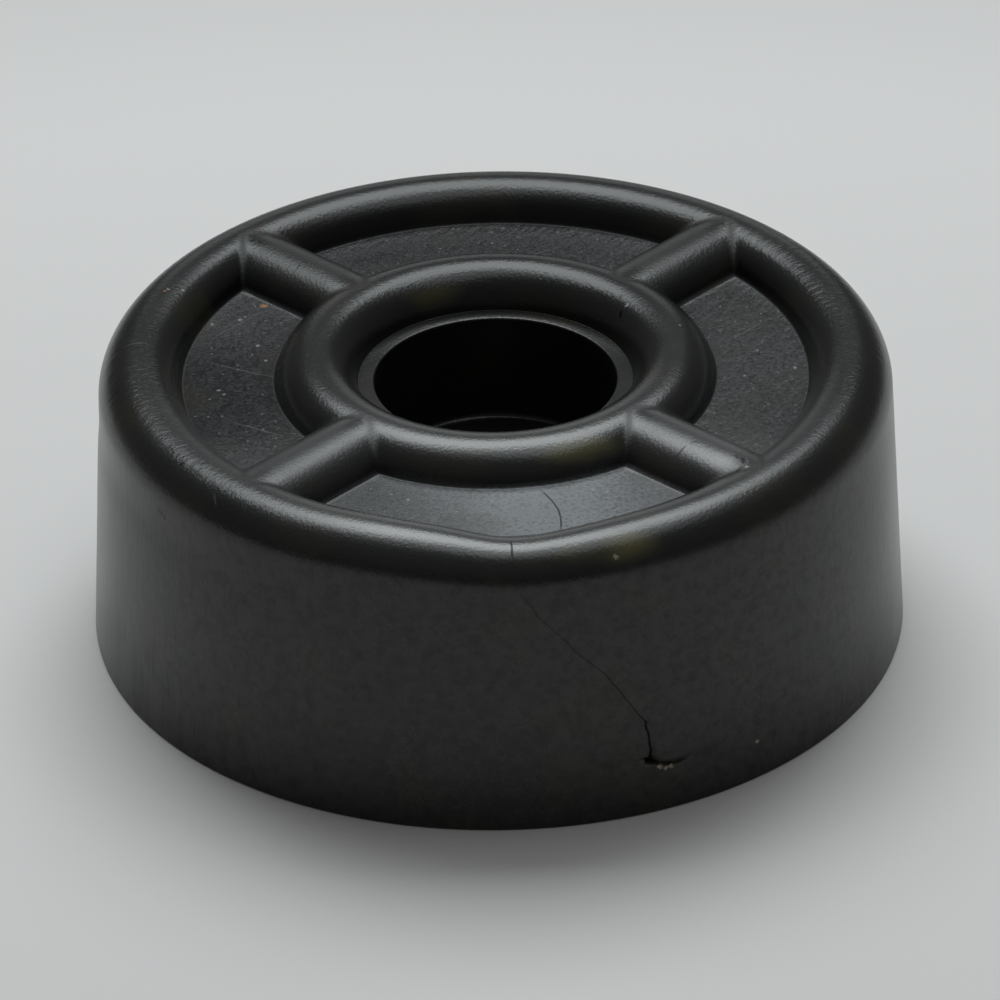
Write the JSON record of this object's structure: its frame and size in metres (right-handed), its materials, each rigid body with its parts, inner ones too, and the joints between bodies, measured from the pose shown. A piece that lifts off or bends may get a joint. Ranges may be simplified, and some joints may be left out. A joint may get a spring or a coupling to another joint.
{
  "type": "rubber foot",
  "caption": "Round moulded rubber foot with a flat back, two raised ring beads joined by ribs, and a recessed screw hole through the middle.",
  "frame": {"origin": "centre of the flat back, on the face that goes against the case", "axes": "+Z along the foot's own axis, from the flat back to the beaded face; the dented side of the outer bead faces -Y"},
  "size_m": [0.038, 0.038, 0.0141],
  "materials": {
    "black_rubber": "semi-matte moulded black rubber, worn, with light dust and fine scratches"
  },
  "bodies": {
    "root": {"rubber_foot": "black_rubber"}
  },
  "joints": []
}
